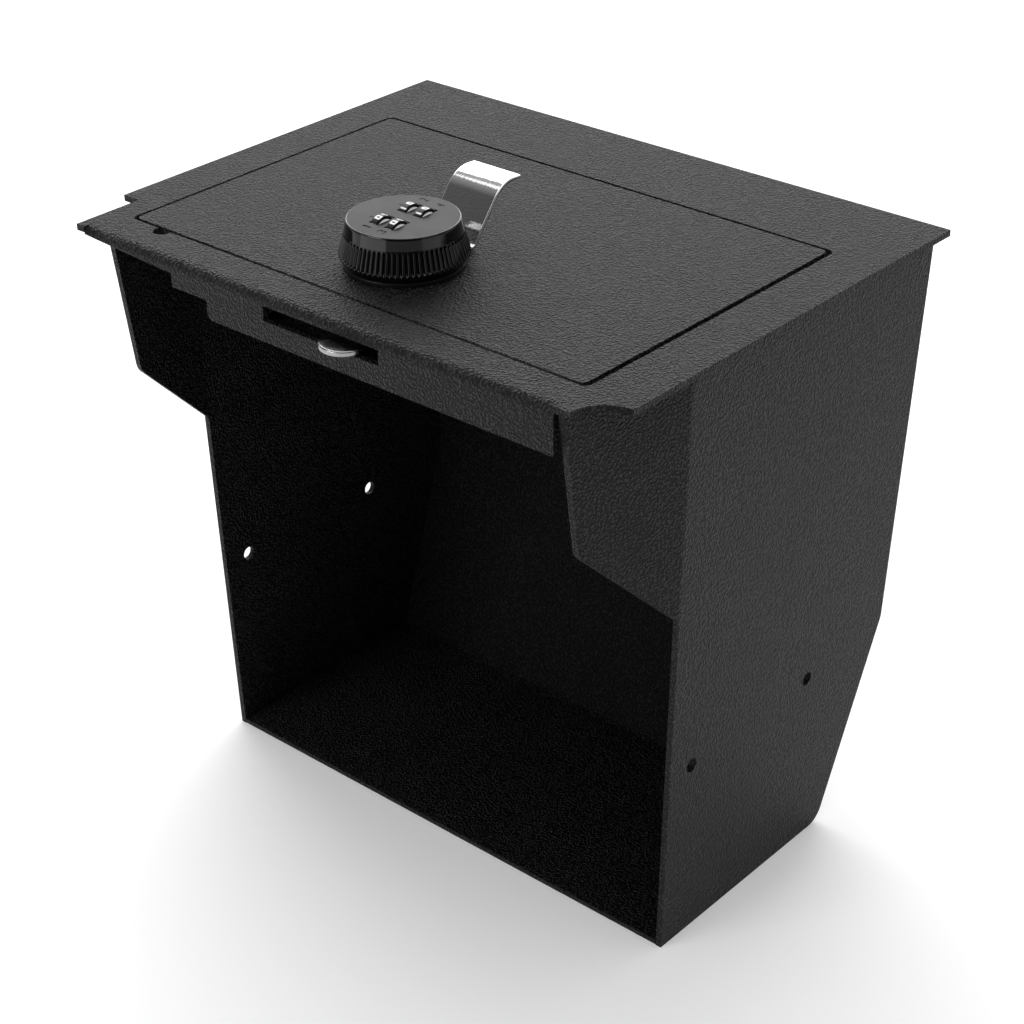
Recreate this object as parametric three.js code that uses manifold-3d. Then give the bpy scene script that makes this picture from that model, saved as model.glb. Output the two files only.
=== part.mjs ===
// Drop-in steel security box for a vehicle's centre console: a bent-sheet body under a top plate, with a
// flush pivoting lid, a four-dial knob lock with a turning cam, and a chromed pull tab.
// Millimetres, +Z up. The box is open towards -Y, and its long side lies along X.
// Places are given in the plate's frame: X from the plate's left edge, Y back from its front edge and
// Z up from its top face. The outer group moves that frame, so that the origin is the base's centre.

import * as THREE from 'three';
import { mergeVertices } from 'three/addons/utils/BufferGeometryUtils.js';
import Module from 'manifold-3d';

const wasm = await Module();
wasm.setup();

// ---- driving dimensions ----

const SHEET = 2.8;
const GAP = 0.3;

const PLATE = { length: 300, depth: 230 };
const BOX_HEIGHT = 283;
const LEFT_STEP = { width: 9.5, depth: 34.5 };
const SCALLOP_RADIUS = 16.2;
const OPENING = { left: 22.6, right: 275.8, front: 19.3, back: 180.5, radius: 3.5 };
const LID = { left: 23.8, right: 273.2, front: 20.9, back: 179.1, radius: 3 };
const CORD_NOTCH = { x: 43.9, y: 18, radius: 4 };

const FLANGE = { left: 69, step: 90, right: 276, shallowDepth: 12.4, depth: 21, bendRadius: 3 };
const LIP = { left: 14, leftDepth: 3.6, rightDepth: 6.4, wallNotch: 5 };
const SLOT = { left: 124, right: 188, top: -4.9, bottom: -11.6 };
const STRIKE = { left: 118, right: 194, top: -13, foot: -20.5, reach: 13, sheet: 2, bendRadius: 1.5 };

const WALL = {
  leftFace: 12.6,
  rightFace: 298.2,
  taper: THREE.MathUtils.degToRad(2.04),
  front: 55,
  frontFoot: 56.6,
  bendRadius: 5,
  wingFront: 0.5,
  wingAngle: THREE.MathUtils.degToRad(17.5),
  wingCorner: { y: 8.5, z: -66, radius: 8 },
  wingFoot: -112,
  backTop: 220.5,
  backBend: { y: 213, z: -187, radius: 8 },
  backFoot: { y: 175.3, radius: 10 },
};
const PANEL = { backTop: 218.5, backBend: { y: 211, z: -186.5 }, backFoot: 174.5, bendRadius: 6 };
const WALL_HOLES = { ys: [70.5, 154.5], z: -191.5, radius: 3.3 };

const HINGE = { y: 157.1, z: -6.5, rodRadius: 2.5, rodOverhang: 1.5, clearance: 0.2 };
const EAR = { radius: 6.5, width: 4, inset: 1 };
const LID_REST = { front: 60, back: 140, thickness: 2.5, reach: 5 };

const LOCK = { x: 146.7, y: 59.2 };
const HOUSING = {
  radius: 25.6,
  rimTop: 1.9,
  edgeRadius: 0.5,
  bossRadius: 22.6,
  top: 2.8,
  barrelRadius: 9.5,
  barrelFoot: -8.3,
  bore: 5.3,
};
const NUT = { radius: 15, height: 3 };
const TAB = {
  width: 26.6,
  thickness: 1.6,
  front: -14,
  foot: { y: 28, bendRadius: 3 },
  crest: { y: 46.2, z: 24.1, bendRadius: 14 },
  tip: { y: 57.8, z: 23.4 },
};

const KNOB = {
  foot: 2.2,
  waist: 5.6,
  bandFoot: 15.2,
  top: 20.5,
  footRadius: 26,
  waistRadius: 27.2,
  bandRadius: 24.6,
  crownRadius: 23.6,
  edgeRadius: 0.6,
  innerTop: 21.4,
  innerFoot: 23,
  faceThickness: 2.1,
};
const RIBS = { count: 72, foot: 5.6, top: 14.6, grooveWidth: 1.2, grooveDepth: 0.7 };
const PINHOLE = { z: 15.2, radius: 0.7 };
const DIAL = { radius: 7, width: 4.1, dx: 4.25, dy: 8.25, z: 15.7, bore: 1.7 };
const WINDOW = { width: 5, length: 11 };
const AXLE_RADIUS = 1.5;
const CARRIER = { radius: 21, foot: 3.3, floor: 5.9, axleBore: 1.7 };
const WEB = { x: 7.9, width: 2, top: 17.9, reach: 12.5 };

const SPINDLE = { radius: 5, square: 7, top: 3, shoulder: -8.4, foot: -11.4 };
const CAM = {
  width: 20.6,
  length: 59,
  thickness: 2.5,
  top: -8.7,
  angle: THREE.MathUtils.degToRad(19.2),
};
const SCREW = { headRadius: 5.2, headHeight: 3, shankRadius: 2, shankTop: -3 };

const CAM_REACH = CAM.length * Math.cos(CAM.angle) + CAM.width / 2 - LOCK.y;

// ---- finishes ----

const POWDER_COAT = { color: 0x1d1d1e, roughness: 0.62, metalness: 0.1 };
const GLOSS_BLACK = { color: 0x0b0b0c, roughness: 0.22, metalness: 0 };
const DIAL_BLACK = { color: 0x111112, roughness: 0.35, metalness: 0 };
const CHROME = { color: 0xd8d8da, roughness: 0.12, metalness: 1 };
const ZINC = { color: 0xb9bcc0, roughness: 0.3, metalness: 1 };
const BLACKENED_STEEL = { color: 0x2a2a2c, roughness: 0.45, metalness: 0.8 };

// ---- helpers ----

// Axes for a section drawn in (u, v) and extruded along w.
const SECTION_YZ = new THREE.Matrix4().makeBasis(
  new THREE.Vector3(0, 1, 0),
  new THREE.Vector3(0, 0, 1),
  new THREE.Vector3(1, 0, 0),
);
const SECTION_ZX = new THREE.Matrix4().makeBasis(
  new THREE.Vector3(0, 0, 1),
  new THREE.Vector3(1, 0, 0),
  new THREE.Vector3(0, 1, 0),
);

function toSolid(geometry) {
  const bare = geometry.clone();
  bare.deleteAttribute('normal');
  bare.deleteAttribute('uv');
  const merged = mergeVertices(bare, 1e-4);
  return new wasm.Manifold(
    new wasm.Mesh({
      numProp: 3,
      vertProperties: new Float32Array(merged.attributes.position.array),
      triVerts: new Uint32Array(merged.index.array),
    }),
  );
}

function toGeometry(solid) {
  const mesh = solid.getMesh();
  const geometry = new THREE.BufferGeometry();
  geometry.setAttribute('position', new THREE.BufferAttribute(mesh.vertProperties, 3));
  geometry.setIndex(new THREE.BufferAttribute(mesh.triVerts, 1));
  geometry.computeVertexNormals();
  return geometry;
}

function piece(name, shape, finish) {
  const geometry = shape.isBufferGeometry ? shape : toGeometry(shape);
  const mesh = new THREE.Mesh(geometry, new THREE.MeshStandardMaterial(finish));
  mesh.name = name;
  return mesh;
}

function box(min, max) {
  const size = max.map((value, axis) => value - min[axis]);
  const centre = max.map((value, axis) => (value + min[axis]) / 2);
  return new THREE.BoxGeometry(...size).translate(...centre);
}

// Cylinder along X from x0 to x1, about the line through (y, z).
function rod(x0, x1, y, z, radius, segments = 32) {
  const geometry = new THREE.CylinderGeometry(radius, radius, x1 - x0, segments);
  return geometry.rotateZ(Math.PI / 2).translate((x0 + x1) / 2, y, z);
}

// Cylinder along Z from z0 to z1 on the local axis.
function post(z0, z1, radius, segments = 48) {
  const geometry = new THREE.CylinderGeometry(radius, radius, z1 - z0, segments);
  return geometry.rotateX(Math.PI / 2).translate(0, 0, (z0 + z1) / 2);
}

// Points of a line through the corners [u, v, radius], with an arc at each corner that has a radius.
function rounded(corners, closed, stepsPerHalfTurn = 14) {
  const points = [];
  const count = corners.length;
  corners.forEach(([u, v, radius = 0], i) => {
    const corner = new THREE.Vector2(u, v);
    const isEnd = !closed && (i === 0 || i === count - 1);
    if (isEnd || radius === 0) {
      points.push(corner);
      return;
    }
    const before = new THREE.Vector2(...corners[(i + count - 1) % count]).sub(corner).normalize();
    const after = new THREE.Vector2(...corners[(i + 1) % count]).sub(corner).normalize();
    const half = Math.acos(before.dot(after)) / 2;
    const inward = before.clone().add(after).normalize();
    const centre = inward.multiplyScalar(radius / Math.sin(half)).add(corner);
    const start = before.multiplyScalar(radius / Math.tan(half)).add(corner).sub(centre);
    const end = after.multiplyScalar(radius / Math.tan(half)).add(corner).sub(centre);
    const turn = Math.atan2(start.cross(end), start.dot(end));
    const steps = Math.max(2, Math.ceil((Math.abs(turn) / Math.PI) * stepsPerHalfTurn));
    for (let step = 0; step <= steps; step += 1) {
      points.push(start.clone().rotateAround(new THREE.Vector2(), (turn * step) / steps).add(centre));
    }
  });
  return points;
}

function outline(corners) {
  return new THREE.Shape(rounded(corners, true));
}

// Cross-section of a sheet whose middle line runs through the corners, bent at those with a radius.
function sheetSection(corners, thickness, stepsPerHalfTurn) {
  const middle = rounded(corners, false, stepsPerHalfTurn);
  const sides = [1, -1].map((side) => middle.map((point, i) => {
    const back = point.clone().sub(middle[Math.max(i - 1, 0)]).normalize();
    const ahead = middle[Math.min(i + 1, middle.length - 1)].clone().sub(point).normalize();
    const along = back.add(ahead).normalize();
    return new THREE.Vector2(-along.y, along.x).multiplyScalar((side * thickness) / 2).add(point);
  }));
  return new THREE.Shape([...sides[0], ...sides[1].reverse()]);
}

function extrude(shape, from, to, basis) {
  const options = { depth: to - from, bevelEnabled: false, curveSegments: 24 };
  const geometry = new THREE.ExtrudeGeometry(shape, options);
  geometry.translate(0, 0, from);
  return basis ? geometry.applyMatrix4(basis) : geometry;
}

function roundedRectangle({ left, right, front, back, radius }) {
  return outline([
    [left, front, radius],
    [right, front, radius],
    [right, back, radius],
    [left, back, radius],
  ]);
}

// Body of revolution about Z, from corners [radius, z, rounding] that start and end on the axis or meet.
function turned(corners, segments = 64) {
  return new THREE.LatheGeometry(rounded(corners, false), segments).rotateX(Math.PI / 2);
}

// How far the inner face of a side wall stands from that wall's outer top edge at height z, with a gap.
function wallInset(z) {
  return SHEET / Math.cos(WALL.taper) - z * Math.tan(WALL.taper) + GAP;
}

// ---- body ----

function topPlate() {
  const plan = new THREE.Shape();
  plan.moveTo(LEFT_STEP.width, 0);
  plan.lineTo(PLATE.length - SCALLOP_RADIUS, 0);
  plan.absarc(PLATE.length, 0, SCALLOP_RADIUS, Math.PI, Math.PI / 2, true);
  plan.lineTo(PLATE.length, PLATE.depth);
  plan.lineTo(0, PLATE.depth);
  plan.lineTo(0, LEFT_STEP.depth);
  plan.lineTo(LEFT_STEP.width, LEFT_STEP.depth);

  const middle = SHEET / 2;
  const bendEnd = 2 * FLANGE.bendRadius;
  const bend = sheetSection([
    [2 * bendEnd, -middle],
    [middle, -middle, FLANGE.bendRadius],
    [middle, -2 * FLANGE.depth],
  ], SHEET);
  const flangeOutline = outline([
    [0, LIP.left],
    [-LIP.leftDepth, LIP.left],
    [-LIP.rightDepth, FLANGE.left],
    [-FLANGE.shallowDepth, FLANGE.left],
    [-FLANGE.shallowDepth, FLANGE.step, 1],
    [-FLANGE.depth, FLANGE.step, 3.5],
    [-FLANGE.depth, FLANGE.right, 1],
    [0, FLANGE.right],
  ]);
  const flange = toSolid(extrude(bend, LIP.left, FLANGE.right, SECTION_YZ))
    .intersect(toSolid(extrude(flangeOutline, 0, 3 * bendEnd, SECTION_ZX)));

  const bore = post(-2 * SHEET, SHEET, CORD_NOTCH.radius, 32).translate(CORD_NOTCH.x, CORD_NOTCH.y, 0);
  const slot = box([SLOT.left, -bendEnd, SLOT.bottom], [SLOT.right, bendEnd, SLOT.top]);
  return toSolid(extrude(plan, -SHEET, 0))
    .subtract(toSolid(box([LIP.left, -1, -2 * SHEET], [FLANGE.right, bendEnd, SHEET])))
    .add(flange)
    .subtract(toSolid(extrude(roundedRectangle(OPENING), -2 * SHEET, SHEET)))
    .subtract(toSolid(bore))
    .subtract(toSolid(slot));
}

function sideWall(face, inward) {
  const reach = 2 * WALL.front;
  const plan = sheetSection([
    [inward * SHEET / 2, PLATE.depth],
    [inward * SHEET / 2, WALL.front, WALL.bendRadius],
    [inward * (SHEET / 2 + reach * Math.tan(WALL.wingAngle)), WALL.front - reach],
  ], SHEET);
  const profile = outline([
    [WALL.wingFront, -SHEET - GAP],
    [WALL.wingCorner.y, WALL.wingCorner.z, WALL.wingCorner.radius],
    [WALL.front, WALL.wingFoot, 1],
    [WALL.frontFoot, -BOX_HEIGHT],
    [WALL.backFoot.y, -BOX_HEIGHT, WALL.backFoot.radius],
    [WALL.backBend.y, WALL.backBend.z, WALL.backBend.radius],
    [WALL.backTop, -SHEET - GAP],
  ]);
  const bentSheet = extrude(plan, -1.1 * BOX_HEIGHT, SHEET)
    .rotateY(-inward * WALL.taper)
    .translate(face, 0, 0);
  const behindLip = box([LIP.left, -1, -LIP.wallNotch], [FLANGE.left, SHEET / 2 + FLANGE.bendRadius, 0]);
  let wall = toSolid(bentSheet)
    .intersect(toSolid(extrude(profile, 0, PLATE.length, SECTION_YZ)))
    .subtract(toSolid(behindLip));
  for (const y of WALL_HOLES.ys) {
    wall = wall.subtract(toSolid(rod(-1, PLATE.length + 1, y, WALL_HOLES.z, WALL_HOLES.radius, 24)));
  }
  return wall;
}

// The back and the floor are one bent sheet, set between the tapering side walls.
function backFloorPanel() {
  const half = SHEET / 2;
  const section = sheetSection([
    [PANEL.backTop - half, -SHEET - GAP],
    [PANEL.backBend.y - half, PANEL.backBend.z, PANEL.bendRadius],
    [PANEL.backFoot - half / 2, half - BOX_HEIGHT, PANEL.bendRadius],
    [WALL.frontFoot, half - BOX_HEIGHT],
  ], SHEET);
  const between = outline([
    [0, WALL.leftFace + wallInset(0)],
    [0, WALL.rightFace - wallInset(0)],
    [-BOX_HEIGHT, WALL.rightFace - wallInset(-BOX_HEIGHT)],
    [-BOX_HEIGHT, WALL.leftFace + wallInset(-BOX_HEIGHT)],
  ]);
  return toSolid(extrude(section, 0, PLATE.length, SECTION_YZ))
    .intersect(toSolid(extrude(between, 0, PLATE.depth, SECTION_ZX)));
}

// Angle behind the flange, just under the slot, that the closed cam reaches over.
function strikeAngle() {
  const half = STRIKE.sheet / 2;
  const back = SHEET + GAP + half;
  const section = sheetSection([
    [back, STRIKE.foot],
    [back, STRIKE.top - half, STRIKE.bendRadius],
    [STRIKE.reach, STRIKE.top - half],
  ], STRIKE.sheet);
  return extrude(section, STRIKE.left, STRIKE.right, SECTION_YZ);
}

// Flat bar under the plate's rim that the closed lid's edge rests on.
function lidRest(x0, x1) {
  const top = -SHEET - GAP;
  return box([x0, LID_REST.front, top - LID_REST.thickness], [x1, LID_REST.back, top]);
}

// Round-ended ear with a bore for the hinge rod, hanging from the underside of the sheet above it.
function hingeEar(x0, clearance) {
  const { y, z } = HINGE;
  const top = -SHEET - GAP;
  const rounding = 0.99 * EAR.radius;
  const ear = outline([
    [y - EAR.radius, top],
    [y - EAR.radius, z - EAR.radius, rounding],
    [y + EAR.radius, z - EAR.radius, rounding],
    [y + EAR.radius, top],
  ]);
  const bore = rod(x0 - 1, x0 + EAR.width + 1, y, z, HINGE.rodRadius + clearance);
  return toSolid(extrude(ear, x0, x0 + EAR.width, SECTION_YZ)).subtract(toSolid(bore));
}

function hingeRod() {
  const overhang = EAR.inset + EAR.width + HINGE.rodOverhang;
  return rod(OPENING.left - overhang, OPENING.right + overhang, HINGE.y, HINGE.z, HINGE.rodRadius);
}

// ---- lid and the fixed part of the lock, in the lock's own axes where they are round ----

function lidPanel() {
  const hole = post(-2 * SHEET, SHEET, HOUSING.barrelRadius + GAP).translate(LOCK.x, LOCK.y, 0);
  return toSolid(extrude(roundedRectangle(LID), -SHEET, 0)).subtract(toSolid(hole));
}

function pullTab() {
  const base = GAP + TAB.thickness / 2;
  const section = sheetSection([
    [TAB.front, base],
    [TAB.foot.y, base, TAB.foot.bendRadius],
    [TAB.crest.y, TAB.crest.z, TAB.crest.bendRadius],
    [TAB.tip.y, TAB.tip.z],
  ], TAB.thickness, 60);
  const half = TAB.width / 2;
  const hole = post(-1, 3 * TAB.thickness, HOUSING.barrelRadius + GAP);
  return toSolid(extrude(section, -half, half, SECTION_YZ)).subtract(toSolid(hole));
}

// Base disc and threaded barrel in one, with a channel in the disc for the pull tab's foot.
function lockHousing() {
  const { radius, rimTop, edgeRadius, bossRadius, top, barrelRadius, barrelFoot, bore } = HOUSING;
  const body = turned([
    [bore, barrelFoot],
    [barrelRadius, barrelFoot],
    [barrelRadius, GAP],
    [radius, GAP],
    [radius, rimTop, edgeRadius],
    [bossRadius, rimTop],
    [bossRadius, top],
    [bore, top],
    [bore, barrelFoot],
  ]);
  const half = TAB.width / 2 + GAP;
  const channelTop = TAB.thickness + 2 * GAP;
  const channel = toSolid(box([-half, TAB.front - GAP, GAP / 2], [half, radius + 1, channelTop]))
    .subtract(toSolid(post(-1, top, barrelRadius)));
  return toSolid(body).subtract(channel);
}

function lockNut() {
  const top = -SHEET - GAP;
  return toSolid(post(top - NUT.height, top, NUT.radius, 6))
    .subtract(toSolid(post(top - 2 * NUT.height, top + 1, HOUSING.barrelRadius + GAP)));
}

// ---- turning part of the lock, about its own axis ----

// One slot of the knob's ribbed grip, lying along its tapering side.
function ribGroove() {
  const slope = (KNOB.waistRadius - KNOB.bandRadius) / (KNOB.bandFoot - KNOB.waist);
  const half = RIBS.grooveWidth / 2;
  return box([-RIBS.grooveDepth, -half, 0], [1, half, RIBS.top - RIBS.foot])
    .rotateY(-Math.atan(slope))
    .translate(KNOB.waistRadius - slope * (RIBS.foot - KNOB.waist), 0, RIBS.foot);
}

function knobShell() {
  const { foot, waist, bandFoot, top, innerTop, innerFoot } = KNOB;
  const { footRadius, waistRadius, bandRadius, crownRadius } = KNOB;
  const ceiling = top - KNOB.faceThickness;
  let shell = toSolid(turned([
    [0, ceiling],
    [innerTop, ceiling],
    [innerFoot, foot],
    [footRadius, foot, KNOB.edgeRadius],
    [waistRadius, waist],
    [bandRadius, bandFoot],
    [crownRadius, top, KNOB.edgeRadius],
    [0, top],
  ], RIBS.count));
  for (let i = 0; i < RIBS.count; i += 1) {
    shell = shell.subtract(toSolid(ribGroove().rotateZ((2 * Math.PI * i) / RIBS.count)));
  }
  for (const [x, y] of dialPlaces()) {
    const halfWidth = WINDOW.width / 2;
    const halfLength = WINDOW.length / 2;
    const window = box([x - halfWidth, y - halfLength, DIAL.z], [x + halfWidth, y + halfLength, top + 1]);
    const relief = rod(x - halfWidth, x + halfWidth, y, DIAL.z, DIAL.radius + GAP, 40);
    shell = shell.subtract(toSolid(window)).subtract(toSolid(relief));
  }
  const pinhole = rod(innerTop - 1, waistRadius, 0, PINHOLE.z, PINHOLE.radius, 12);
  return shell.subtract(toSolid(pinhole));
}

function dialPlaces() {
  return [
    [-DIAL.dx, -DIAL.dy],
    [-DIAL.dx, DIAL.dy],
    [DIAL.dx, -DIAL.dy],
    [DIAL.dx, DIAL.dy],
  ];
}

// Disc with three webs that hold the two dial axles.
function dialCarrier() {
  let carrier = toSolid(post(CARRIER.foot, CARRIER.floor, CARRIER.radius));
  for (const x of [-WEB.x, 0, WEB.x]) {
    const left = x - WEB.width / 2;
    const web = box([left, -WEB.reach, CARRIER.foot + 1], [left + WEB.width, WEB.reach, WEB.top]);
    carrier = carrier.add(toSolid(web));
  }
  for (const y of [-DIAL.dy, DIAL.dy]) {
    const bore = rod(-CARRIER.radius, CARRIER.radius, y, DIAL.z, CARRIER.axleBore, 24);
    carrier = carrier.subtract(toSolid(bore));
  }
  return carrier;
}

function dialAxle(y) {
  const half = WEB.x + WEB.width / 2;
  return rod(-half, half, y, DIAL.z, AXLE_RADIUS, 24);
}

function dialWheel(x, y) {
  const half = DIAL.width / 2;
  return toSolid(rod(x - half, x + half, y, DIAL.z, DIAL.radius, 40))
    .subtract(toSolid(rod(x - half - 1, x + half + 1, y, DIAL.z, DIAL.bore, 24)));
}

function lockSpindle() {
  const { radius, square, top, shoulder, foot } = SPINDLE;
  return toSolid(post(shoulder, top, radius))
    .add(toSolid(box([-square / 2, -square / 2, foot], [square / 2, square / 2, shoulder + 1])))
    .subtract(toSolid(post(foot - 1, SCREW.shankTop + GAP, SCREW.shankRadius + GAP, 24)));
}

function lockCam() {
  const radius = CAM.width / 2;
  const bar = new THREE.Shape();
  bar.absarc(0, 0, radius, 0, Math.PI);
  bar.absarc(0, -CAM.length, radius, Math.PI, 2 * Math.PI);
  const half = SPINDLE.square / 2 + GAP;
  const hole = box([-half, -half, CAM.top - 2 * CAM.thickness], [half, half, CAM.top + 1]);
  return toSolid(extrude(bar, CAM.top - CAM.thickness, CAM.top)).subtract(toSolid(hole));
}

function camScrew() {
  const top = SPINDLE.foot - GAP;
  return toSolid(post(top - SCREW.headHeight, top, SCREW.headRadius, 32))
    .add(toSolid(post(top - 1, SCREW.shankTop, SCREW.shankRadius, 24)));
}

// ---- assembly ----

const body = new THREE.Group();
const restInset = wallInset(-SHEET - GAP - LID_REST.thickness);
body.add(
  piece('top_plate', topPlate(), POWDER_COAT),
  piece('left_wall', sideWall(WALL.leftFace, 1), POWDER_COAT),
  piece('right_wall', sideWall(WALL.rightFace, -1), POWDER_COAT),
  piece('back_floor_panel', backFloorPanel(), POWDER_COAT),
  piece('strike_angle', strikeAngle(), POWDER_COAT),
  piece('lid_rest_left', lidRest(WALL.leftFace + restInset, LID.left + LID_REST.reach), POWDER_COAT),
  piece('lid_rest_right', lidRest(LID.right - LID_REST.reach, WALL.rightFace - restInset), POWDER_COAT),
  piece('hinge_ear_left', hingeEar(OPENING.left - EAR.inset - EAR.width, GAP), POWDER_COAT),
  piece('hinge_ear_right', hingeEar(OPENING.right + EAR.inset, GAP), POWDER_COAT),
  piece('hinge_rod', hingeRod(), ZINC),
);

const lid = new THREE.Group();
lid.add(
  piece('lid_panel', lidPanel(), POWDER_COAT),
  piece('lid_ear_left', hingeEar(LID.left + EAR.inset, HINGE.clearance), POWDER_COAT),
  piece('lid_ear_right', hingeEar(LID.right - EAR.inset - EAR.width, HINGE.clearance), POWDER_COAT),
);

const lock = new THREE.Group();
lock.position.set(LOCK.x, LOCK.y, 0);
const cam = piece('lock_cam', lockCam(), ZINC);
cam.rotation.z = CAM.angle;
const spindle = piece('lock_spindle', lockSpindle(), ZINC);
spindle.rotation.z = CAM.angle;
lock.add(
  piece('pull_tab', pullTab(), CHROME),
  piece('lock_housing', lockHousing(), GLOSS_BLACK),
  piece('lock_nut', lockNut(), ZINC),
  piece('knob_shell', knobShell(), GLOSS_BLACK),
  piece('dial_carrier', dialCarrier(), DIAL_BLACK),
  piece('dial_axle_front', dialAxle(-DIAL.dy), BLACKENED_STEEL),
  piece('dial_axle_back', dialAxle(DIAL.dy), BLACKENED_STEEL),
  spindle,
  cam,
  piece('cam_screw', camScrew(), ZINC),
);
dialPlaces().forEach(([x, y], i) => {
  lock.add(piece(`dial_wheel_${i + 1}`, dialWheel(x, y), DIAL_BLACK));
});
lid.add(lock);

const consoleBox = new THREE.Group();
consoleBox.add(body, lid);
consoleBox.position.set(-PLATE.length / 2, -(PLATE.depth - CAM_REACH) / 2, BOX_HEIGHT);

export default consoleBox;
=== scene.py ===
"""Looks of the console security box: coated sheet steel, a four-dial combination knob and a chrome pull tab.

Row frame, metres. The knob's own lengths are in millimetres and go through MM.
"""

import math

import bmesh
import bpy
from mathutils import Matrix, Vector


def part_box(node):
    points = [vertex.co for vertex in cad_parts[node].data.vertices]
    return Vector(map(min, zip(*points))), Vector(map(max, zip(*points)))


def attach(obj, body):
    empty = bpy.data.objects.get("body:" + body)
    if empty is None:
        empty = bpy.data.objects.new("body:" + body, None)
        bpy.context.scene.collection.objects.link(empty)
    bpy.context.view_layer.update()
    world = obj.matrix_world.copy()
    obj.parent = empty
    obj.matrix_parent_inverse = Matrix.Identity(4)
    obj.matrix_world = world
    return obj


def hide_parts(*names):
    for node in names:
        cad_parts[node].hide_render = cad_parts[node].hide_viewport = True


MM = 0.001
WELD_GAP = 0.32 * MM  # a little more than CAD leaves between welded sheets
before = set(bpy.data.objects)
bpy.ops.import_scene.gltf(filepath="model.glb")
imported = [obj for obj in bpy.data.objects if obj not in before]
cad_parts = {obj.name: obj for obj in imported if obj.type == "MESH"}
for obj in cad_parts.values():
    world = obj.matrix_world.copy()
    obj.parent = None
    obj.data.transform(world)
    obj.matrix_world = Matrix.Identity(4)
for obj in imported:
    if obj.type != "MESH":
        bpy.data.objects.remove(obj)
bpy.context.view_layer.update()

PLATE_LOW, PLATE_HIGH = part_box("top_plate")
PLATE_TOP = PLATE_HIGH.z
KNOB_LOW, KNOB_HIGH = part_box("knob_shell")
AXIS = Vector(((KNOB_LOW.x + KNOB_HIGH.x) / 2, (KNOB_LOW.y + KNOB_HIGH.y) / 2, PLATE_TOP))

# ------------------------------------------------ the knob, in mm from its axis and the plate's top
KNOB_RADIUS = (KNOB_HIGH.x - KNOB_LOW.x) / 2 / MM
KNOB_FOOT = (KNOB_LOW.z - PLATE_TOP) / MM
KNOB_TOP = (KNOB_HIGH.z - PLATE_TOP) / MM
SKIRT = {"radius": KNOB_RADIUS - 1.2, "rounding": 0.9, "arc": (-90, -20), "steps": 6}
WAIST_Z = KNOB_FOOT + 3.4
WAIST = [(0.35, -1.2), (0.08, -0.5), (0, 0.1), (0.12, 0.6)]  # how far inside KNOB_RADIUS and above WAIST_Z
BAND = {"foot": 15.2, "radius": KNOB_RADIUS - 2.6, "crown": KNOB_RADIUS - 3.6}
SIDE_STEPS = {"ribs": 60, "band": 18}
RIM = {"rounding": 0.55, "arc": (8, 90), "steps": 6, "low_out": 0.1, "centre_out": 0.05}
FACE = {"radius": BAND["crown"] - RIM["rounding"], "thickness": 2.1, "steps": 144, "gap": 0.02}
INNER = {"foot": 23, "top": 21.4, "chamfer": 0.05}
OUTSIDE = INNER["foot"] - 0.2  # the grooved outside lies further from the axis than this
RIBS = {  # hollow bends a groove's section, and columns are the mesh columns in one pitch
    "count": 72, "foot": 4.9, "top": 14.9, "half_width": 0.84, "depth": 1.25, "end": 1.5,
    "hollow": 0.85, "columns": 16,
}
PINHOLE = {"z": 15.2, "radius": 0.85, "depth": 2.2}
WINDOW = {"width": 4.7, "length": 10.2, "chamfer": 0.15, "overcut": 1.0}

DIGITS = 10
DIGIT = {"height": 2.9, "width": 2.6, "shift": 0.15, "weight": 0.035, "square": 0.8, "proud": 0.03}
DIGIT_SLICES = {"each_side": 6, "step": 0.24}  # cuts that let a flat digit bend round its wheel
ONE_WIDTH = 0.3  # a 1's width over its height
GLYPH = {"extrude": 0.5, "resolution": 6, "merge": 1e-5, "tiny": 1e-6}
CORE = {"radius": 5.28, "bore": 1.7, "cone": 0.6, "cone_width": 0.65}
DIAL_INSET = 0.35  # how much smaller the shown wheels are than the CAD wheels
DIGIT_DEPTH = 0.15
DIAL_SIDE_GAP = 0.03
TYRE_EDGE = 0.3
CORE_GAP = 0.02
DIAL_STEPS = 96
ROW_TURN = {"front": -14.0, "back": 4.0}  # where each row's 0 stands, in degrees from the top towards +Y

LABELS = [("1", -4.1, -17.0), ("3", 4.3, -17.0), ("2", -5.5, 18.2), ("4", 3.5, 18.1)]
LABEL = {
    "height": 4.1, "width": 2.5, "depth": 0.22, "overcut": 0.5, "floor_lift": 0.01, "floor_thickness": 0.03,
}
DASHES = [(-9.6, -8.4), (-9.6, 8.4)]
DASH = {"length": 2.2, "width": 0.45}


# ------------------------------------------------ materials
NOISE_SPAN = (0.3, 0.7)  # where most of a noise's values lie
# Scales are per metre. Relief and drift are in metres.
# GRAIN's dark and light are the coat's colours in the grain's hollows and on its pebble tops; the step between
# them is painted shade
GRAIN = {
    "cell_scale": 800.0, "cell_edges": (0.15, 0.62), "smoothness": 0.25, "drift_scale": 600.0, "drift": 0.0011,
    "fine_scale": 2800.0, "fine_share": 0.35, "relief": 0.0013, "patch_scale": 34.0, "patch_range": (0.8, 1.1),
    "dark": 0.001, "light": 0.042, "roughness": (0.38, 0.52), "specular": 0.18,
}
PLASTIC = {"wisp_scale": 90.0, "grain_scale": 1500.0, "base_range": (0.85, 1.15)}
PLATING = {
    "haze_scale": 160.0, "haze_span": (0.35, 0.75), "roughness": (0.02, 0.06),
    "dark": (0.78, (1.0, 1.0, 1.01)), "light": 0.86, "ripple_scale": 900.0, "relief": 0.00003,
}
METAL = {
    "cloud_scale": 220.0, "mark_scale": 2400.0, "roughness_range": (0.8, 1.25),
    "dark": 0.55, "dark_tint": (0.98, 1.0, 1.03), "relief": 0.00002,
}
INK = {"mottle_scale": 700.0, "dark": 0.9, "roughness_spread": 0.05, "specular": 0.4}


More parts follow.
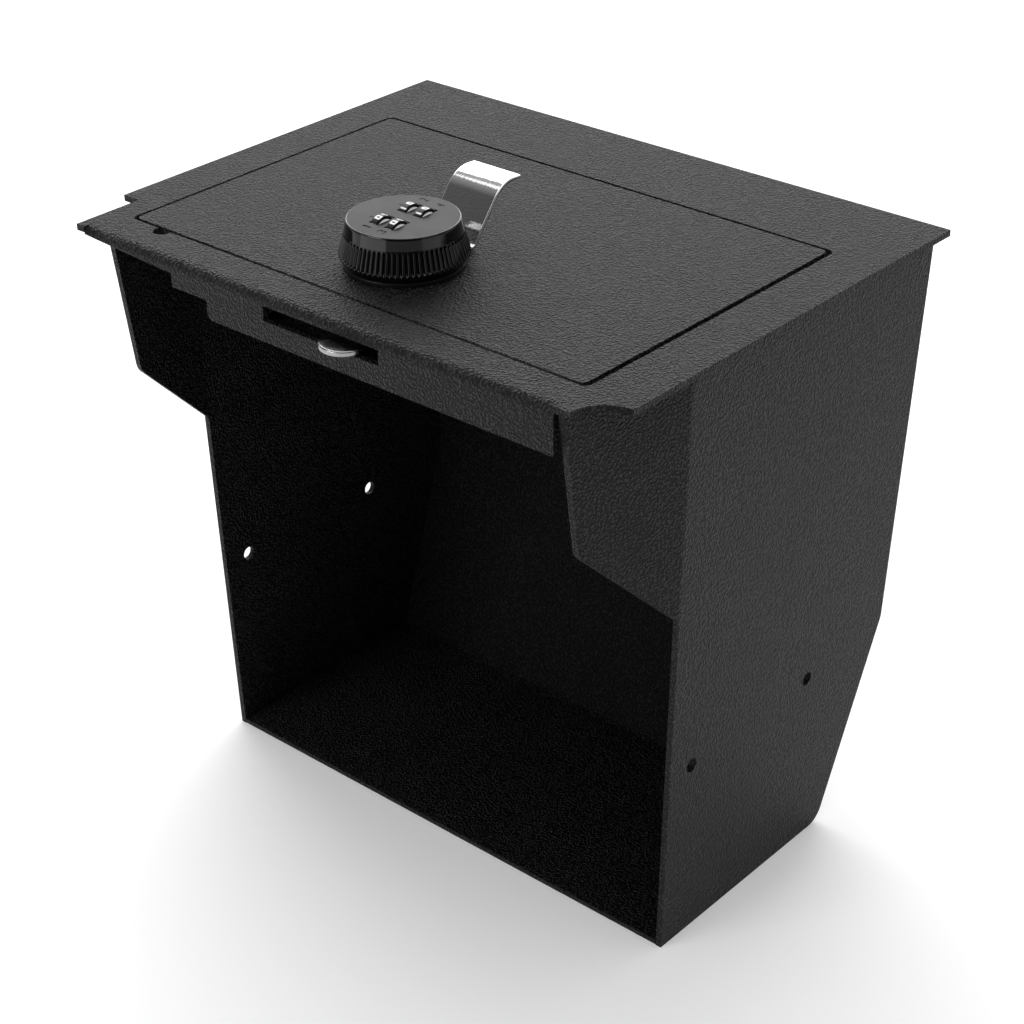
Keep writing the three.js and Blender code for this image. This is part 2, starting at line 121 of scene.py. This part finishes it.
def material(name, socket_values):
    """A material with these values on its Principled BSDF."""
    mat = bpy.data.materials.new(name)
    mat.use_nodes = True
    shader = mat.node_tree.nodes["Principled BSDF"]
    for socket, value in socket_values.items():
        shader.inputs[socket].default_value = value
    return mat


def grey(value, tint=(1, 1, 1)):
    """A grey of this value as an RGBA colour, leaned towards tint."""
    return (value * tint[0], value * tint[1], value * tint[2], 1)


class Tree:
    """A material's node tree, with short ways to add and link nodes."""

    def __init__(self, mat):
        self.tree = mat.node_tree
        self.shader = self.tree.nodes["Principled BSDF"]
        self.place = self.add("ShaderNodeTexCoord").outputs["Object"]

    def add(self, kind, settings=None, **inputs):
        """A new node. An underscore in an input's name stands for a space."""
        node = self.tree.nodes.new(kind)
        for key, value in (settings or {}).items():
            setattr(node, key, value)
        for key, value in inputs.items():
            node.inputs[key.replace("_", " ")].default_value = value
        return node

    def noise(self, scale, detail):
        node = self.add("ShaderNodeTexNoise", Scale=scale, Detail=detail)
        self.link(self.place, node.inputs["Vector"])
        return node.outputs["Fac"]

    def math(self, operation, *values):
        """One sum on numbers or sockets."""
        node = self.add("ShaderNodeMath", {"operation": operation})
        for socket, value in zip(node.inputs, values):
            if isinstance(value, bpy.types.NodeSocket):
                self.link(value, socket)
            else:
                socket.default_value = value
        return node.outputs[0]

    def ramp(self, factor, low, high, to_low, to_high):
        """Maps low..high to to_low..to_high, clamped."""
        node = self.add("ShaderNodeMapRange", From_Min=low, From_Max=high, To_Min=to_low, To_Max=to_high)
        self.link(factor, node.inputs["Value"])
        return node.outputs[0]

    def tint(self, factor, dark, light):
        """A colour between two, by factor."""
        node = self.add("ShaderNodeMix", {"data_type": "RGBA"})
        self.link(factor, node.inputs[0])
        node.inputs[6].default_value = dark
        node.inputs[7].default_value = light
        return node.outputs[2]

    def bump(self, height, distance):
        """Shades the surface as if height stood out by distance metres."""
        node = self.add("ShaderNodeBump", Strength=1.0, Distance=distance)
        self.link(height, node.inputs["Height"])
        self.link(node.outputs[0], self.shader.inputs["Normal"])

    def link(self, source, target):
        self.tree.links.new(source, target)


def powder_coat():
    """Black powder coat with the leather grain of the photographed sheet."""
    mat = material("powder_coat", {"Specular IOR Level": GRAIN["specular"]})
    t = Tree(mat)
    drift = t.add("ShaderNodeTexNoise", Scale=GRAIN["drift_scale"], Detail=1.0)
    t.link(t.place, drift.inputs["Vector"])
    pushed = t.add("ShaderNodeVectorMath", {"operation": "MULTIPLY_ADD"})
    t.link(drift.outputs["Color"], pushed.inputs[0])
    pushed.inputs[1].default_value = (GRAIN["drift"],) * 3
    t.link(t.place, pushed.inputs[2])
    cells = t.add(
        "ShaderNodeTexVoronoi", {"feature": "SMOOTH_F1"},
        Scale=GRAIN["cell_scale"], Smoothness=GRAIN["smoothness"],
    )
    t.link(pushed.outputs[0], cells.inputs["Vector"])
    pebbles = t.ramp(cells.outputs["Distance"], *GRAIN["cell_edges"], 1.0, 0.0)
    fine = t.noise(GRAIN["fine_scale"], 2.0)
    height = t.math("MULTIPLY_ADD", fine, GRAIN["fine_share"], pebbles)
    t.bump(height, GRAIN["relief"])
    patches = t.noise(GRAIN["patch_scale"], 3.0)
    # painted shade: the base colour follows the grain's height, darker in its hollows and lighter on its pebble
    # tops, and is scaled by random tone patches
    crevice_shade_and_patches = t.math("MULTIPLY", pebbles, t.ramp(patches, *NOISE_SPAN, *GRAIN["patch_range"]))
    t.link(t.tint(crevice_shade_and_patches, grey(GRAIN["dark"]), grey(GRAIN["light"])), t.shader.inputs["Base Color"])
    t.link(t.ramp(fine, *NOISE_SPAN, *GRAIN["roughness"]), t.shader.inputs["Roughness"])
    return mat


def black_plastic(name, base, roughness, spread, grain, shine):
    """Moulded black plastic. grain is its relief in metres, and shine its specular level."""
    mat = material(name, {"Specular IOR Level": shine})
    t = Tree(mat)
    wisps = t.noise(PLASTIC["wisp_scale"], 3.0)
    t.link(t.ramp(wisps, *NOISE_SPAN, roughness - spread, roughness + spread), t.shader.inputs["Roughness"])
    dark, light = (grey(base * share) for share in PLASTIC["base_range"])
    t.link(t.tint(wisps, dark, light), t.shader.inputs["Base Color"])
    t.bump(t.noise(PLASTIC["grain_scale"], 2.0), grain)
    return mat


def chrome():
    """Polished plate with a faint haze and ripple."""
    mat = material("tab_chrome", {"Metallic": 1.0})
    t = Tree(mat)
    haze = t.noise(PLATING["haze_scale"], 4.0)
    t.link(t.ramp(haze, *PLATING["haze_span"], *PLATING["roughness"]), t.shader.inputs["Roughness"])
    t.link(t.tint(haze, grey(*PLATING["dark"]), grey(PLATING["light"])), t.shader.inputs["Base Color"])
    t.bump(t.noise(PLATING["ripple_scale"], 3.0), PLATING["relief"])
    return mat


def brushed_metal(name, base, roughness):
    """Zinc-plated or bare steel, with fine marks and cloudy patches."""
    mat = material(name, {"Metallic": 1.0})
    t = Tree(mat)
    cloud = t.noise(METAL["cloud_scale"], 4.0)
    marks = t.noise(METAL["mark_scale"], 2.0)
    smooth, rough = (roughness * share for share in METAL["roughness_range"])
    t.link(t.ramp(cloud, *NOISE_SPAN, smooth, rough), t.shader.inputs["Roughness"])
    dark = grey(base * METAL["dark"], METAL["dark_tint"])
    t.link(t.tint(cloud, dark, grey(base)), t.shader.inputs["Base Color"])
    t.bump(marks, METAL["relief"])
    return mat


def ink(name, base, roughness):
    """A matt printed or moulded colour."""
    mat = material(name, {"Specular IOR Level": INK["specular"]})
    t = Tree(mat)
    mottle = t.noise(INK["mottle_scale"], 2.0)
    spread = INK["roughness_spread"]
    t.link(t.tint(mottle, grey(base * INK["dark"]), grey(base)), t.shader.inputs["Base Color"])
    t.link(t.ramp(mottle, *NOISE_SPAN, roughness - spread, roughness + spread), t.shader.inputs["Roughness"])
    return mat


COAT = powder_coat()
KNOB_BLACK = black_plastic("knob_black", 0.002, 0.1, 0.03, 0.000002, 0.5)
KNOB_SATIN = black_plastic("knob_satin", 0.004, 0.34, 0.03, 0.000004, 0.07)
DIAL_BLACK = black_plastic("dial_black", 0.005, 0.42, 0.05, 0.00001, 0.25)
CHROME = chrome()
ZINC = brushed_metal("zinc_plate", 0.42, 0.26)
STEEL = brushed_metal("dark_steel", 0.22, 0.38)
WHITE = ink("dial_white", 0.9, 0.45)
MARK = ink("engraved_mark", 0.006, 0.8)


# ------------------------------------------------ CAD nodes shown as they are, with eased edges
def seated(node, pull):
    """A copy of a CAD sheet whose welded edges are drawn onto their neighbours by pull(point)."""
    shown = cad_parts[node]
    mesh = shown.data.copy()
    for vertex in mesh.vertices:
        vertex.co = pull(vertex.co)
    obj = bpy.data.objects.new(node + "_seated", mesh)
    bpy.context.scene.collection.objects.link(obj)
    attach(obj, "body")
    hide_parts(node)
    return obj


WELD_DISTANCE = 0.02 * MM
FLAT_ANGLE = math.radians(0.2)
SHARP_ANGLE = math.radians(35)
LARGE_FACE_WEIGHT = 100  # how strongly large faces lead the shading normals
EDGE = {  # how far edges are rounded, in mm
    "sheet": 0.5, "tab": 0.7, "housing": 0.3, "carrier": 0.2, "zinc": 0.25, "cam": 0.8, "axle": 0.15,
}


def ease(obj, mat, edge, segments=3):
    """Rounds an object's sharp edges by edge mm. A CAD node is named; its own vertices stay as they are."""
    if isinstance(obj, str):
        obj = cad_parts[obj]
    obj.data.materials.clear()
    obj.data.materials.append(mat)
    obj.data.polygons.foreach_set("use_smooth", [True] * len(obj.data.polygons))
    weld = obj.modifiers.new("weld", "WELD")
    weld.merge_threshold = WELD_DISTANCE
    flat = obj.modifiers.new("flat", "DECIMATE")
    flat.decimate_type = "DISSOLVE"
    flat.angle_limit = FLAT_ANGLE
    bevel = obj.modifiers.new("edge", "BEVEL")
    bevel.limit_method = "ANGLE"
    bevel.angle_limit = SHARP_ANGLE
    bevel.width = edge * MM
    bevel.segments = segments
    bevel.use_clamp_overlap = True
    normals = obj.modifiers.new("normals", "WEIGHTED_NORMAL")
    normals.weight = LARGE_FACE_WEIGHT
    return obj


# ------------------------------------------------ pieces built here
def piece(name, bm, body, mat, replaced=None, smooth=True):
    """A mesh piece from a bmesh in row-frame metres."""
    bmesh.ops.recalc_face_normals(bm, faces=bm.faces)
    mesh = bpy.data.meshes.new(name)
    bm.to_mesh(mesh)
    bm.free()
    mesh.polygons.foreach_set("use_smooth", [smooth] * len(mesh.polygons))
    mesh.materials.append(mat)
    obj = bpy.data.objects.new(name, mesh)
    bpy.context.scene.collection.objects.link(obj)
    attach(obj, body)
    if replaced:
        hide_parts(*replaced)


def place(x, y, z):
    """A point given in mm from the knob's axis and the plate's top, in the row frame."""
    return AXIS + Vector((x, y, z)) * MM


def join_rings(bm, rings):
    """Quads between each ring of vertices and the next."""
    for low, high in zip(rings, rings[1:]):
        for i in range(len(low)):
            j = (i + 1) % len(low)
            bm.faces.new((low[i], low[j], high[j], high[i]))


def close_stack(bm, rings):
    """Joins rings into one closed solid, with a flat face on the first and the last."""
    join_rings(bm, rings)
    bm.faces.new(rings[0][::-1])
    bm.faces.new(rings[-1])


def lathe_knob(bm, profile, columns):
    """A solid ring around the knob's axis, grooved on its outside. profile is a closed list of (r, z) in mm."""
    rings = []
    for r, z in profile:
        ring = []
        for i in range(columns):
            angle = 2 * math.pi * i / columns
            radius = r - (groove_depth(angle, r, z) if r > OUTSIDE else 0)
            ring.append(bm.verts.new(place(radius * math.cos(angle), radius * math.sin(angle), z)))
        rings.append(ring)
    join_rings(bm, rings + rings[:1])


def arc(center, radius, start, end, steps):
    """Points [(u, v)] on an arc about center, from start to end degrees."""
    angles = [math.radians(start + (end - start) * i / steps) for i in range(steps + 1)]
    return [(center[0] + radius * math.cos(a), center[1] + radius * math.sin(a)) for a in angles]


def between(a, b, steps):
    """Points from a to b, b left out."""
    return [(a[0] + (b[0] - a[0]) * i / steps, a[1] + (b[1] - a[1]) * i / steps) for i in range(steps)]


def groove_depth(angle, r, z):
    """How far the ribbed grip and the pinhole go in at this point of the knob's side, in mm."""
    pitch = 2 * math.pi / RIBS["count"]
    across = ((angle + pitch / 2) % pitch - pitch / 2) * r
    width = RIBS["half_width"]
    end = RIBS["end"]
    along = max(RIBS["foot"] + end - z, z - (RIBS["top"] - end), 0) / end
    near = math.hypot(across / width, along)
    depth = RIBS["depth"] * (1 - near) ** RIBS["hollow"] if near < 1 else 0
    turn = (angle + math.pi) % (2 * math.pi) - math.pi
    hole = math.hypot(turn * r, z - PINHOLE["z"])
    if hole < PINHOLE["radius"]:
        depth = PINHOLE["depth"]
    return depth


def knob_grip():
    """The knob's ribbed side, its smooth band and the rounded rim up to the flat face."""
    low_round, rim_round = SKIRT["rounding"], RIM["rounding"]
    rim_z = KNOB_TOP - rim_round
    waist = [(KNOB_RADIUS - inside, WAIST_Z + above) for inside, above in WAIST]
    upper = (BAND["radius"], BAND["foot"])
    crown_low = (BAND["crown"] + RIM["low_out"], rim_z)
    outer = arc((SKIRT["radius"] - low_round, KNOB_FOOT + low_round), low_round, *SKIRT["arc"], SKIRT["steps"])
    outer += waist[:-1] + between(waist[-1], upper, SIDE_STEPS["ribs"])
    outer += between(upper, crown_low, SIDE_STEPS["band"])
    outer += arc((BAND["crown"] - rim_round + RIM["centre_out"], rim_z), rim_round, *RIM["arc"], RIM["steps"])
    inner_top = KNOB_TOP - FACE["thickness"]
    inner = [
        (FACE["radius"], KNOB_TOP), (FACE["radius"] - FACE["gap"], inner_top),
        (INNER["top"], inner_top - INNER["chamfer"]),
        (INNER["foot"], KNOB_FOOT + INNER["chamfer"]), (INNER["foot"], KNOB_FOOT),
    ]
    bm = bmesh.new()
    lathe_knob(bm, outer[:-1] + inner, RIBS["count"] * RIBS["columns"])
    piece("knob_grip", bm, "knob", KNOB_BLACK, ["knob_shell"])


def glyph(text, height, width, thickness, weight, square=0.0):
    """A digit as a closed mesh in mm, centred, with its top along +Y, from z 0 to thickness.

    weight thickens its strokes, and square pushes round strokes out towards its box's corners.
    """
    curve = bpy.data.curves.new("glyph", "FONT")
    curve.body = text
    curve.size = 1
    curve.offset = weight
    curve.extrude = GLYPH["extrude"]
    curve.resolution_u = GLYPH["resolution"]
    holder = bpy.data.objects.new("glyph", curve)
    bpy.context.scene.collection.objects.link(holder)
    bpy.context.view_layer.update()
    mesh = bpy.data.meshes.new_from_object(holder.evaluated_get(bpy.context.evaluated_depsgraph_get()))
    bpy.data.objects.remove(holder)
    bm = bmesh.new()
    bm.from_mesh(mesh)
    bmesh.ops.remove_doubles(bm, verts=bm.verts, dist=GLYPH["merge"])
    low = [min(v.co[k] for v in bm.verts) for k in range(3)]
    high = [max(v.co[k] for v in bm.verts) for k in range(3)]
    if text == "1":
        width = height * ONE_WIDTH
    for v in bm.verts:
        x = (v.co.x - low[0]) / (high[0] - low[0]) * 2 - 1
        y = (v.co.y - low[1]) / (high[1] - low[1]) * 2 - 1
        out = 1 + square * (math.hypot(x, y) / max(abs(x), abs(y), GLYPH["tiny"]) - 1)
        v.co.x = max(-1, min(1, x * out)) * width / 2
        v.co.y = max(-1, min(1, y * out)) * height / 2
        v.co.z = (v.co.z - low[2]) / (high[2] - low[2]) * thickness
    return bm


def append(target, source, move):
    """Adds source's faces to target, with each point passed through move."""
    index = {v: target.verts.new(move(v.co)) for v in source.verts}
    for face in source.faces:
        target.faces.new([index[v] for v in face.verts])
    source.free()


def box_mesh(bm, low, high):
    """A box between two corners in mm from the knob's axis."""
    spans = list(zip(low, high))
    corners = [bm.verts.new(place(x, y, z)) for z in spans[2] for y in spans[1] for x in spans[0]]
    for a, b, c, d in ((0, 2, 3, 1), (4, 5, 7, 6), (0, 1, 5, 4), (2, 6, 7, 3), (0, 4, 6, 2), (1, 3, 7, 5)):
        bm.faces.new((corners[a], corners[b], corners[c], corners[d]))


def label_points(bm, floor, thickness):
    """The face's numbers and dashes as closed meshes, from height floor up by thickness."""
    for text, x, y in LABELS:
        shape = glyph(text, LABEL["height"], LABEL["width"], thickness, weight=0.0)
        append(bm, shape, lambda co, x=x, y=y: place(x - co.y, y + co.x, floor + co.z))
    for x, y in DASHES:
        half = (DASH["length"] / 2, DASH["width"] / 2)
        box_mesh(bm, (x - half[0], y - half[1], floor), (x + half[0], y + half[1], floor + thickness))


def window_cutter(bm, x, y):
    """A window with a chamfered top edge."""
    a, b, c = WINDOW["width"] / 2, WINDOW["length"] / 2, WINDOW["chamfer"]
    over = WINDOW["overcut"]
    levels = [(KNOB_TOP - FACE["thickness"] - over, 0), (KNOB_TOP - c, 0), (KNOB_TOP, c), (KNOB_TOP + over, c)]
    signs = ((-1, -1), (1, -1), (1, 1), (-1, 1))
    rings = [
        [bm.verts.new(place(x + sx * (a + out), y + sy * (b + out), z)) for sx, sy in signs]
        for z, out in levels
    ]
    close_stack(bm, rings)


def mesh_object(name, bm):
    """A bare object in the scene made from bm, for cutting."""
    bmesh.ops.recalc_face_normals(bm, faces=bm.faces)
    mesh = bpy.data.meshes.new(name)
    bm.to_mesh(mesh)
    bm.free()
    obj = bpy.data.objects.new(name, mesh)
    bpy.context.scene.collection.objects.link(obj)
    return obj


def cut(obj, cutter):
    """Subtracts cutter from obj's mesh, and removes cutter."""
    modifier = obj.modifiers.new("cut", "BOOLEAN")
    modifier.operation = "DIFFERENCE"
    modifier.solver = "EXACT"
    modifier.object = cutter
    bpy.context.view_layer.update()
    mesh = bpy.data.meshes.new_from_object(obj.evaluated_get(bpy.context.evaluated_depsgraph_get()))
    obj.modifiers.remove(modifier)
    obj.data = mesh
    bpy.data.objects.remove(cutter)


def knob_face(wheels):
    """The knob's flat face, with four windows and the cut numbers."""
    bm = bmesh.new()
    turns = [2 * math.pi * i / FACE["steps"] for i in range(FACE["steps"])]
    radius = FACE["radius"]
    rings = [
        [bm.verts.new(place(radius * math.cos(turn), radius * math.sin(turn), z)) for turn in turns]
        for z in (KNOB_TOP - FACE["thickness"], KNOB_TOP)
    ]
    close_stack(bm, rings)
    disc = mesh_object("knob_face", bm)
    windows = bmesh.new()
    for wheel in wheels:
        window_cutter(windows, wheel["x"], wheel["y"])
    cut(disc, mesh_object("windows", windows))
    marks = bmesh.new()
    label_points(marks, KNOB_TOP - LABEL["depth"], LABEL["depth"] + LABEL["overcut"])
    cut(disc, mesh_object("marks", marks))
    disc.data.materials.clear()
    disc.data.materials.append(KNOB_SATIN)
    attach(disc, "knob")
    floor = bmesh.new()
    label_points(floor, KNOB_TOP - LABEL["depth"] + LABEL["floor_lift"], LABEL["floor_thickness"])
    piece("knob_marks", floor, "knob", MARK, smooth=False)


def wheel_facts(node):
    """Where a dial wheel is in CAD, in mm from the knob's axis and the plate's top, and how large it is."""
    low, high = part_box(node)
    centre = (low + high) / 2 - AXIS
    return {
        "node": node, "body": "dial_" + node[-1],
        "x": centre.x / MM, "y": centre.y / MM, "z": centre.z / MM,
        "radius": (high.z - low.z) / 2 / MM, "half": (high.x - low.x) / 2 / MM,
    }


def round_axle(wheel, x, r, turn):
    """A point r mm from the wheel's axle, x mm along it, and turned from the top towards +Y."""
    return place(wheel["x"] + x, wheel["y"] + r * math.sin(turn), wheel["z"] + r * math.cos(turn))


def wheel_lathe(bm, wheel, profile):
    """A solid ring about the wheel's axle. profile is a closed list of (radius, x) in mm."""
    rings = []
    for i in range(DIAL_STEPS):
        turn = 2 * math.pi * i / DIAL_STEPS
        rings.append([bm.verts.new(round_axle(wheel, x, r, turn)) for r, x in profile])
    join_rings(bm, rings + rings[:1])


def dial_wheel(wheel):
    """A two-colour moulded wheel: a black tyre on a white core.

    The core's coned flank stands out on the right, and its digits come through the tyre.
    """
    n = wheel["node"][-1]
    half, tread, core = wheel["half"] - DIAL_SIDE_GAP, wheel["radius"] - DIAL_INSET, CORE["radius"]
    right = half - CORE["cone"]
    tyre = bmesh.new()
    wheel_lathe(tyre, wheel, [
        (core, -half), (tread - TYRE_EDGE, -half), (tread, -half + TYRE_EDGE),
        (tread, right - TYRE_EDGE), (tread - TYRE_EDGE, right), (core, right),
    ])
    piece("dial_tyre_" + n, tyre, wheel["body"], DIAL_BLACK, [wheel["node"]], smooth=False)
    white = bmesh.new()
    wheel_lathe(white, wheel, [
        (CORE["bore"], -half), (core - CORE_GAP, -half), (core - CORE_GAP, right),
        (core - CORE["cone_width"], half), (CORE["bore"], half),
    ])
    piece("dial_core_" + n, white, wheel["body"], WHITE, smooth=False)
    digits = bmesh.new()
    start = ROW_TURN["front" if wheel["y"] < 0 else "back"]
    side = DIGIT_SLICES["each_side"]
    for k in range(DIGITS):
        shape = glyph(str(k), DIGIT["height"], DIGIT["width"], DIGIT_DEPTH, DIGIT["weight"], DIGIT["square"])
        for i in range(-side, side + 1):
            bmesh.ops.bisect_plane(
                shape, geom=shape.verts[:] + shape.edges[:] + shape.faces[:],
                plane_co=(i * DIGIT_SLICES["step"], 0, 0), plane_no=(1, 0, 0),
            )
        middle = math.radians(start - k * 360 / DIGITS)

        def wrap(co, middle=middle):
            """Bends the flat digit round the tread."""
            r = tread - DIGIT_DEPTH + DIGIT["proud"] + co.z
            return round_axle(wheel, -DIGIT["shift"] - co.y, r, middle + co.x / tread)

        append(digits, shape, wrap)
    piece("dial_digits_" + n, digits, wheel["body"], WHITE, smooth=False)


# ------------------------------------------------ stage: floor, camera, lights
LIGHTS = [  # name, azimuth and elevation in degrees, distance, width and height in metres, radiance
    ("top", 41.5, 82, 1.7, 2.6, 2.4, 1.0),
    ("back", 221.5, 33, 1.9, 2.6, 1.4, 3.8),
    ("left_front", 342.5, 1, 1.3, 1.3, 0.42, 0.9),
    ("right_front", 94, 1, 1.3, 0.9, 0.42, 0.33),
    ("right_high", 95, 38, 1.5, 0.7, 0.7, 0.5),
    ("key", 345, 18, 1.6, 0.8, 0.45, 6.5),
]
FLOOR_GLOW = 0.2
FLOOR_REACH = 40
FLOOR_GREY = 0.9
WORLD = {  # span is how far a direction leans to the bright side, and light the radiance at the span's ends
    "bright_side": (-0.35, 0.85, 0.35), "span": (-0.1, 0.7), "light": (0.04, 0.5),
}
VIEW = {  # angles in degrees, lens and sensor in mm, the rest in metres
    "azimuth": 41.498, "elevation": 29.870, "roll": -0.817, "lens": 79.9, "sensor": 36,
    "distance": 1.03, "clip_start": 0.01,
}
AIM = Vector((0.0051, 0.0019, 0.1445))


def toward(azimuth, elevation):
    """The unit vector from the object to a view direction, given in degrees."""
    az, el = math.radians(azimuth), math.radians(elevation)
    return Vector((math.sin(az) * math.cos(el), -math.cos(az) * math.cos(el), math.sin(el)))


def view_axes():
    """The camera's right, up and backward directions."""
    az, roll = math.radians(VIEW["azimuth"]), math.radians(VIEW["roll"])
    back = toward(VIEW["azimuth"], VIEW["elevation"])
    level = Vector((math.cos(az), math.sin(az), 0))
    upright = back.cross(level)
    right = math.cos(roll) * level + math.sin(roll) * upright
    return right, back.cross(right), back


def add_camera():
    """The photograph's view."""
    data = bpy.data.cameras.new("camera")
    data.lens = VIEW["lens"]
    data.sensor_width = VIEW["sensor"]
    data.clip_start = VIEW["clip_start"]
    camera = bpy.data.objects.new("camera", data)
    right, up, back = view_axes()
    turn = Matrix((right, up, back)).transposed().to_4x4()
    camera.matrix_world = Matrix.Translation(AIM + back * VIEW["distance"]) @ turn
    bpy.context.scene.collection.objects.link(camera)
    bpy.context.scene.camera = camera


def softbox(name, azimuth, elevation, distance, width, height, radiance):
    """An area light facing the object from a view direction; its brightness is its radiance."""
    direction = toward(azimuth, elevation)
    data = bpy.data.lights.new(name, "AREA")
    data.shape = "RECTANGLE"
    data.size, data.size_y = width, height
    data.energy = math.pi * width * height * radiance
    light = bpy.data.objects.new(name, data)
    turn = direction.to_track_quat("Z", "Y").to_matrix().to_4x4()
    light.matrix_world = Matrix.Translation(Vector((0, 0, PLATE_TOP)) + direction * distance) @ turn
    light.visible_camera = False
    bpy.context.scene.collection.objects.link(light)


def add_floor():
    """A plain pale floor with a faint glow of its own, which keeps its shadows soft."""
    mesh = bpy.data.meshes.new("floor")
    corners = [(x * FLOOR_REACH, y * FLOOR_REACH, 0) for x, y in ((-1, -1), (1, -1), (1, 1), (-1, 1))]
    mesh.from_pydata(corners, [], [(0, 1, 2, 3)])
    floor = bpy.data.objects.new("floor", mesh)
    mesh.materials.append(material("floor", {
        "Base Color": grey(FLOOR_GREY), "Roughness": 0.9, "Specular IOR Level": 0.1,
        "Emission Color": grey(1), "Emission Strength": FLOOR_GLOW,
    }))
    bpy.context.scene.collection.objects.link(floor)


def add_world():
    """An even studio surround, brighter behind the object."""
    world = bpy.data.worlds.new("studio")
    world.use_nodes = True
    tree = world.node_tree
    direction = tree.nodes.new("ShaderNodeTexCoord")
    lean = tree.nodes.new("ShaderNodeVectorMath")
    lean.operation = "DOT_PRODUCT"
    lean.inputs[1].default_value = WORLD["bright_side"]
    shade = tree.nodes.new("ShaderNodeMapRange")
    for socket, value in zip(("From Min", "From Max", "To Min", "To Max"), WORLD["span"] + WORLD["light"]):
        shade.inputs[socket].default_value = value
    tree.links.new(direction.outputs["Generated"], lean.inputs[0])
    tree.links.new(lean.outputs["Value"], shade.inputs["Value"])
    tree.links.new(shade.outputs[0], tree.nodes["Background"].inputs["Color"])
    bpy.context.scene.world = world


# ------------------------------------------------ everything in place
COATED = (
    "top_plate", "strike_angle", "lid_rest_left", "lid_rest_right", "hinge_ear_left", "hinge_ear_right",
    "lid_panel", "lid_ear_left", "lid_ear_right",
)
TOP_EDGE = 0.1 * MM  # the height of the band at a wall's top that is drawn up to the plate


def main():
    middle = (PLATE_LOW.x + PLATE_HIGH.x) / 2
    wall_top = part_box("left_wall")[1].z

    def to_plate(co):
        """Welded sheets reach up to the plate's underside."""
        return Vector((co.x, co.y, co.z + (WELD_GAP if co.z > wall_top - TOP_EDGE else 0)))

    def to_walls(co):
        """The back and floor panel also reaches out to both walls."""
        return to_plate(co) + Vector((math.copysign(WELD_GAP, co.x - middle), 0, 0))

    for sheet, pull in (("left_wall", to_plate), ("right_wall", to_plate), ("back_floor_panel", to_walls)):
        ease(seated(sheet, pull), COAT, EDGE["sheet"])
    for node in COATED:
        ease(node, COAT, EDGE["sheet"])
    ease("pull_tab", CHROME, EDGE["tab"], 5)
    ease("lock_housing", DIAL_BLACK, EDGE["housing"])
    ease("dial_carrier", DIAL_BLACK, EDGE["carrier"])
    for node in ("hinge_rod", "lock_nut", "lock_spindle", "cam_screw"):
        ease(node, ZINC, EDGE["zinc"])
    ease("lock_cam", ZINC, EDGE["cam"], 4)
    for node in ("dial_axle_front", "dial_axle_back"):
        ease(node, STEEL, EDGE["axle"])

    wheels = [wheel_facts("dial_wheel_%d" % n) for n in (1, 2, 3, 4)]
    knob_grip()
    knob_face(wheels)
    for wheel in wheels:
        dial_wheel(wheel)

    add_floor()
    add_world()
    add_camera()
    bpy.context.scene.view_settings.view_transform = "Standard"
    for light in LIGHTS:
        softbox(*light)


main()
